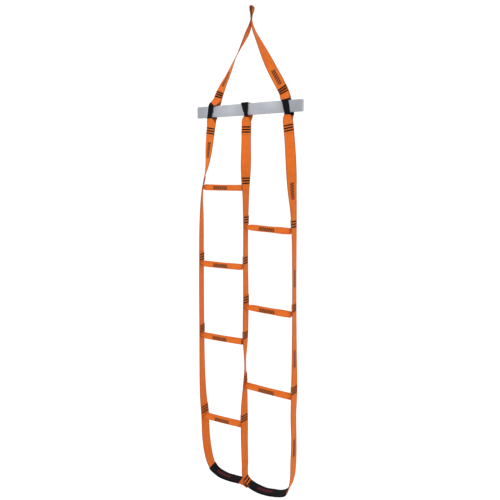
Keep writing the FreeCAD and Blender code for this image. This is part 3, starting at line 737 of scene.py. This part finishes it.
def make_open_end(number, strip, body):
    """The dark end of the stiff tube inside a rung that is cut square."""
    end, along = strip.points[-1], strip.along[-1]
    # place along the rung and width: inside the cover, over the lip and into the bore
    lip = ((-0.004, 0.0225), (-0.001, 0.0225), (0.0009, 0.0215), (0.0012, 0.0190), (0.0002, 0.0175))
    keys = [(*(end + along * inset), -90, wide, wide, ROUND) for inset, wide in lip]
    rim = sweep(f"rung_{number}_tube_end", Strip(keys, 0.0004), core_plastic)
    finish_piece(rim, "rung_core_plastic", f"rung_{number}_core")
    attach(rim, body)


# ---- bridle and hanger -------------------------------------------------------------------------------------

EYE_FOLD = fold_height("eye_swing")
EYE_TURN = 91.0
STEM_TURN = 111.0      # the stem below the eye is twisted a little further
EYE_X = 0.005
EYE_DROP = 0.0088      # from the hook's bearing point to the middle of the eye's round part
EYE_RADIUS = 0.0069
EYE_LEAN = 0.0032      # the loop leans to one side of its stem
EYE_TACKS = -0.0420
EYE_WIDE = 0.024       # the strap is folded narrower and thicker to make the eye
EYE_THICK = 0.0034


def eye_point(across, z, turn):
    """A key of the eye's strap, offset along the direction that the twisted eye opens away from."""
    normal = math.radians(turn - 90.0)
    lean = EYE_LEAN * np.clip((z + 0.040) / 0.035, 0, 1)
    x, y = EYE_X + lean + across * math.cos(normal), across * math.sin(normal)
    return x, y, z, turn, EYE_WIDE, EYE_THICK, 6.0


def make_eye():
    """The strap doubled round the hook's place and sewn together below it."""
    down = [(EYE_THICK * 0.5, EYE_FOLD + 0.014, STEM_TURN), (EYE_THICK * 0.5, -0.042, STEM_TURN),
            (EYE_THICK * 0.55, -0.036, 104), (0.0036, -0.028, EYE_TURN + 4),
            (EYE_RADIUS * 0.86, -EYE_DROP - 0.005, EYE_TURN)]
    keys = [eye_point(-across, z, turn) for across, z, turn in down]
    for degrees in (165, 128, 90, 52, 15):
        bearing = math.radians(degrees)
        across, rise = EYE_RADIUS * math.cos(bearing), EYE_RADIUS * math.sin(bearing)
        keys.append(eye_point(across, rise - EYE_DROP, EYE_TURN))
    keys += [eye_point(across, z, turn) for across, z, turn in reversed(down)]
    # painted shade: the eye loop is drawn in the darker copy of the webbing
    eye = sweep("eye_loop", Strip(keys, 0.0025), eye_painted_shade)
    finish_piece(eye, "orange_webbing", "top_eye")
    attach(eye, "eye")
    turns = ((-0.028, 98), (-0.036, 104), (-0.044, STEM_TURN), (-0.056, STEM_TURN))
    stem = Strip([(EYE_X, 0, z, turn) for z, turn in turns], 0.002)
    sewn = tack_bars("eye_sewing", stem, stem.place(EYE_TACKS), EYE_THICK * 2, long=EYE_WIDE - 0.002,
                     pitch=0.0075)
    finish_piece(sewn, "black_thread", "eye_bartacks")
    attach(sewn, "eye")


# x, z and turn of each leg, and its width and thickness where those differ from a plain strap's: it leaves
# the stem edge to the front and shows its flat side by the bar
LEFT_LEG = (
    (0.0032, -0.045, STEM_TURN, 0.024, 0.0034),
    (0.0031, -0.060, 110, 0.026, 0.0032),
    (-0.0002, -0.082, 100, 0.033, 0.0030),
    (-0.0105, -0.108, 94, 0.040),
    (-0.030, -0.145, 107, 0.044, 0.0050),
    (-0.051, -0.182, 120, 0.044, 0.0050),
    (-0.073, -0.220, 126),
    (-0.098, -0.2705, 139),
    (-0.118, -0.309, 149),
    (-0.133, -0.3345, 159),
    (-0.146, -0.3605, 166),
    (-0.159, -0.390, 173),
    (-0.162, -0.399, 175),
)
RIGHT_LEG = (
    (0.0068, -0.045, STEM_TURN, 0.024, 0.0034),
    (0.0070, -0.060, 109, 0.026, 0.0032),
    (0.0095, -0.082, 99, 0.033, 0.0030),
    (0.0190, -0.111, 89, 0.040),
    (0.0390, -0.153, 77),
    (0.0585, -0.194, 61),
    (0.0780, -0.235, 42),
    (0.1045, -0.288, 25),
    (0.1410, -0.355, 6),
    (0.1570, -0.387, 1),
    (0.1605, -0.397, 0),
)
LEG_CUT_Z = -0.200     # each leg is cut here, so that each piece holds one fold


def make_leg(side, route, mark, lean):
    """One leg from the stem to its band, printed at the height of mark, with leaning sewing at its foot."""
    strip = Strip([(x, 0, z, *rest) for x, z, *rest in route])
    middle = strip.place(LEG_CUT_Z)
    upper = sweep(f"{side}_leg_upper", strip.cut(0.0, middle), orange)
    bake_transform(upper)
    lower = sweep(f"{side}_leg_lower", strip.cut(middle, strip.length[-1]), orange, mark=strip.place(mark))
    across_fold(lower)
    for piece in (upper, lower):
        finish_piece(piece, "orange_webbing", f"{side}_bridle_leg")
    sewn = tack_bars(f"{side}_leg_sewing", strip, strip.place(HIGH_TACKS), THICK * 2 + 0.0008, turn=lean,
                     pitch=0.0102)
    across_fold(sewn)
    finish_piece(sewn, "black_thread", "hanger_bartacks")
    return strip


BAND = 0.0042          # thickness of a strap gathered under its sleeve
BAND_POWER = 3.5       # exponent of its cross-section there
HALF_FLAT = 8.0        # and where it is only partly gathered
BAND_Y = abs(BAR_FRONT) + 0.0005 + SLEEVE_WALL + BAND / 2


def band_keys(side, leg, way, face):
    """One layer of strap past the bar, gathered narrow where its sleeve bears on the bar."""
    y = face * BAND_Y
    top_x, low_x = BAND_X[side] + way["top"], BAND_X[side] + way["foot"]
    (top_wide, low_wide), rail_x = way["wide"], RAILS[side].points[0][0]
    keys = []
    if leg:
        start, _, _, _, values = leg.at(leg.place(BRIDLE_FOLD - 0.032))
        seam = leg.points[-1]
        turn = values[3] - 180 if values[3] > 90 else values[3]
        keys += [(start[0], face * THICK * 0.5, start[2], turn),
                 (seam[0], face * THICK * 0.52, seam[2], turn),
                 (seam[0] * 0.45 + top_x * 0.55, face * 0.0075, BAR_TOP + 0.012, 0, 0.041, THICK, HALF_FLAT)]
    top_z = BAR_TOP + (0.001 if leg else 0.0035)
    middle_z = (BAR_TOP + BAR_FOOT) / 2
    keys += [(top_x, y, top_z, 0, top_wide, BAND, BAND_POWER),
             ((top_x + low_x) / 2, y, middle_z, 0, (top_wide + low_wide) / 2, BAND, BAND_POWER),
             (low_x, y, BAR_FOOT - 0.002, 0, low_wide, BAND, BAND_POWER),
             ((low_x + rail_x) / 2, face * 0.0070, BAR_FOOT - 0.018, 0, 0.038, THICK, HALF_FLAT),
             (rail_x, face * THICK * 0.52, SEAM_LOW, 0)]
    return keys


def make_band(side, leg, ways):
    """The strap's two layers past the bar, front and back, with their sleeves."""
    rail = RAILS[side]
    tail_end = rail.place(BAR_FOLD + 0.014)
    for name, face in (("front", -1), ("back", 1)):
        way = ways[name]
        keys = band_keys(side, leg, way, face)
        for share in (0.25, 0.5, 0.75, 1.0):
            point, _, _, _, values = rail.at(tail_end * share)
            keys.append((point[0], face * THICK * 0.51, point[2], values[3]))
        strip = Strip(keys, 0.003)
        body = sweep(f"{side}_band_{name}", strip, orange)
        finish_piece(body, "orange_webbing", "middle_bar_loop" if side == "middle" else f"{side}_bar_pocket")
        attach(body, "hanger")
        upper = strip.place(BAR_TOP + 0.006) if leg else 0.0
        lower = strip.place(BAR_FOOT + way["sleeve_foot"])
        sleeve = sweep(f"{side}_band_sleeve_{name}", strip.cut(upper, lower), black, grow=SLEEVE_WALL)
        finish_piece(sleeve, "black_sleeve", f"{side}_bar_sleeve")
        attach(sleeve, "hanger")


def make_band_sewing(side, lean):
    """The bars through both layers where they meet again below the bar."""
    rail = RAILS[side]
    sewn = tack_bars(f"{side}_band_sewing", rail, rail.place(LOW_TACKS), THICK * 2 + 0.0006, turn=lean)
    finish_piece(sewn, "black_thread", "hanger_bartacks")
    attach(sewn, "hanger")


def make_crown(way):
    """The middle sleeve's way over the top of the bar.  It clears the bar when that slides."""
    wall = SLEEVE_WALL * 0.8
    top = BAR_TOP + 0.0013 + wall + BAND * 0.225
    x, wide = BAND_X["middle"] + way["top"], way["wide"][0]
    # share of the way to the band's own depth, height and thickness, from the front face to the top
    rise = ((1.0, BAR_TOP - 0.004, BAND), (0.93, BAR_TOP + 0.0026, BAND * 0.6), (0.6, top, BAND * 0.45))
    front = [(x, -BAND_Y * share, z, 0, wide, thick, BAND_POWER) for share, z, thick in rise]
    back = [(x, BAND_Y * share, z, 0, wide, thick, BAND_POWER) for share, z, thick in reversed(rise)]
    crown = sweep("middle_band_crown", Strip(front + back, 0.002), black, grow=wall)
    finish_piece(crown, "black_sleeve", "middle_bar_sleeve")
    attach(crown, "hanger")


# for each layer: where it leaves the bar's top and foot, from its sleeve's middle, its widths there, and
# where its sleeve ends, from the bar's foot
LEFT_BAND = {
    "front": {"top": 0.001, "foot": -0.008, "wide": (0.024, 0.021), "sleeve_foot": -0.007},
    "back": {"top": 0.005, "foot": 0.000, "wide": (0.036, 0.032), "sleeve_foot": -0.007}}
MIDDLE_BAND = {
    "front": {"top": -0.003, "foot": 0.004, "wide": (0.031, 0.015), "sleeve_foot": -0.008},
    "back": {"top": -0.003, "foot": 0.008, "wide": (0.030, 0.034), "sleeve_foot": 0.012}}
RIGHT_BAND = {
    "front": {"top": -0.004, "foot": 0.005, "wide": (0.029, 0.024), "sleeve_foot": -0.007},
    "back": {"top": 0.000, "foot": 0.010, "wide": (0.030, 0.030), "sleeve_foot": -0.008}}


def make_hanger():
    left_leg = make_leg("left", LEFT_LEG, mark=-0.310, lean=3.0)
    right_leg = make_leg("right", RIGHT_LEG, mark=-0.321, lean=-3.0)
    make_band("left", left_leg, LEFT_BAND)
    make_band_sewing("left", lean=3.0)
    make_band("right", right_leg, RIGHT_BAND)
    make_band_sewing("right", lean=-4.0)
    make_band("middle", None, MIDDLE_BAND)
    make_crown(MIDDLE_BAND["front"])
    make_band_sewing("middle", lean=1.0)


# ---- spreader bar ------------------------------------------------------------------------------------------

BAR_TILT = math.radians(0.9)
BAR_WALL, BAR_EDGE = 0.002, 0.0016     # the tube's wall and the radius of its outer corners


def rounded_rectangle(deep, tall, radius, per_corner=5):
    """Points round a rectangle with round corners, in Y and Z."""
    ring = []
    for quarter, (sy, sz) in enumerate(((1, 1), (-1, 1), (-1, -1), (1, -1))):
        for k in range(per_corner):
            angle = math.pi / 2 * (quarter + k / (per_corner - 1))
            ring.append((sy * (deep / 2 - radius) + radius * math.cos(angle),
                         sz * (tall / 2 - radius) + radius * math.sin(angle)))
    return ring


def bar_body(name, sections, material, closed=True):
    """A bar along X that leans a little.  A section is x, depth, height and corner radius."""
    middle_x, middle_z = (BAR[0].x + BAR[1].x) / 2, (BAR[0].z + BAR[1].z) / 2
    points = []
    for x, deep, tall, radius in sections:
        lift = middle_z + (x - middle_x) * math.tan(BAR_TILT)
        points += [(x, y, lift + z) for y, z in rounded_rectangle(deep, tall, radius)]
    around = len(points) // len(sections)
    faces = tube_faces(len(sections), around, closed)
    if not closed:
        last = (len(sections) - 1) * around
        faces += [(last + k, last + (k + 1) % around, (k + 1) % around, k) for k in range(around)]
    return new_mesh(name, points, faces, material)


def make_tube(deep, tall):
    """The tube, from its left end along the outside, round the right end and back along the bore."""
    left, right = BAR[0].x, BAR[1].x
    inner = (deep - 2 * BAR_WALL, tall - 2 * BAR_WALL, 0.0006)
    eased = (deep - 0.0006, tall - 0.0006, BAR_EDGE)
    places = [left + 0.0004, *(left + share * (right - left) for share in (0.25, 0.5, 0.75)), right - 0.0004]
    sections = [(left, *eased), *((x, deep, tall, BAR_EDGE) for x in places), (right, *eased),
                (right, *inner), (left, *inner)]
    tube = bar_body("spreader_tube", sections, aluminium, closed=False)
    finish_piece(tube, "aluminium_bar", "spreader_bar_tube")
    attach(tube, "spreader_bar")


def make_plug(name, end, way, deep, tall):
    """A shank inside the tube and a head that covers its end.  Rows: distance past the end, how much less
    deep and tall than the tube, and corner radius."""
    rows = ((-0.018, 0.0050, 0.001), (-0.016, 0.0045, 0.001), (-0.0001, 0.0045, 0.001),
            (0.0, 0.0004, BAR_EDGE), (0.0012, 0.0004, BAR_EDGE), (0.0020, 0.0022, BAR_EDGE),
            (0.0020, 0.0090, BAR_EDGE), (0.0015, 0.0100, BAR_EDGE))
    sections = [(end + way * past, deep - less, tall - less, radius) for past, less, radius in rows]
    plug = bar_body(f"{name}_end_plug", sections, plug_plastic)
    finish_piece(plug, "grey_plug", "spreader_bar_end_plugs")
    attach(plug, "spreader_bar")


def make_bar():
    deep, tall = BAR[1].y - BAR[0].y, BAR[1].z - BAR[0].z
    make_tube(deep, tall)
    make_plug("left", BAR[0].x, -1, deep, tall)
    make_plug("right", BAR[1].x, 1, deep, tall)


# ---- camera, light and stage -------------------------------------------------------------------------------

CAMERA_YAW = math.radians(25.0)
CAMERA_AWAY = 2.09
CAMERA_HEIGHT = -0.715
CAMERA_ASIDE = 0.003
SENSOR = 36.0
LENS = 34.56
SHIFT_X, SHIFT_Y = -0.002, -0.16      # of the view, as shares of its width


def make_camera():
    data = bpy.data.cameras.new("camera")
    data.sensor_width = SENSOR
    data.lens = LENS
    data.shift_x, data.shift_y = SHIFT_X, SHIFT_Y
    data.clip_end = 100.0
    camera = bpy.data.objects.new("camera", data)
    camera.location = (CAMERA_AWAY * math.sin(CAMERA_YAW) + CAMERA_ASIDE,
                       -CAMERA_AWAY * math.cos(CAMERA_YAW), CAMERA_HEIGHT)
    camera.rotation_euler = (math.pi / 2, 0, CAMERA_YAW)
    bpy.context.scene.collection.objects.link(camera)
    bpy.context.scene.camera = camera


def area_light(name, at, target, size, power, colour=(1, 1, 1)):
    data = bpy.data.lights.new(name, "AREA")
    data.size = size
    data.energy = power
    data.color = colour
    light = bpy.data.objects.new(name, data)
    light.location = at
    light.rotation_euler = (Vector(target) - Vector(at)).to_track_quat("-Z", "Y").to_euler()
    bpy.context.scene.collection.objects.link(light)


FLOOR_HALF = 30.0
FLOOR_BELOW = 0.25     # from the lowest step down to the floor
SKY_STRENGTH = 1.10


def make_stage():
    floor_z = cad_box[0][2] - FLOOR_BELOW
    corners = [(x * FLOOR_HALF, y * FLOOR_HALF, floor_z) for x, y in ((-1, -1), (1, -1), (1, 1), (-1, 1))]
    new_mesh("floor", corners, [(0, 1, 2, 3)], floor_material())
    world = bpy.data.worlds.new("studio")
    world.use_nodes = True
    background = world.node_tree.nodes["Background"]
    background.inputs["Color"].default_value = (1.0, 1.0, 1.0, 1.0)
    background.inputs["Strength"].default_value = SKY_STRENGTH
    bpy.context.scene.world = world
    area_light("key", (-1.6, -3.0, 1.2), (0, 0, -1.0), 2.0, 34.0)
    area_light("fill", (2.6, -2.4, -0.4), (0, 0, -1.1), 2.4, 4.0)
    bpy.context.scene.view_settings.view_transform = "Standard"


make_camera()
make_stage()
make_rails()
make_steps()
for number in RUNGS:
    make_rung(number)
    core = frame["nodes"][f"rung_{number}_core"]
    core.data.materials.clear()
    core.data.materials.append(core_plastic)
make_eye()
make_hanger()
make_bar()
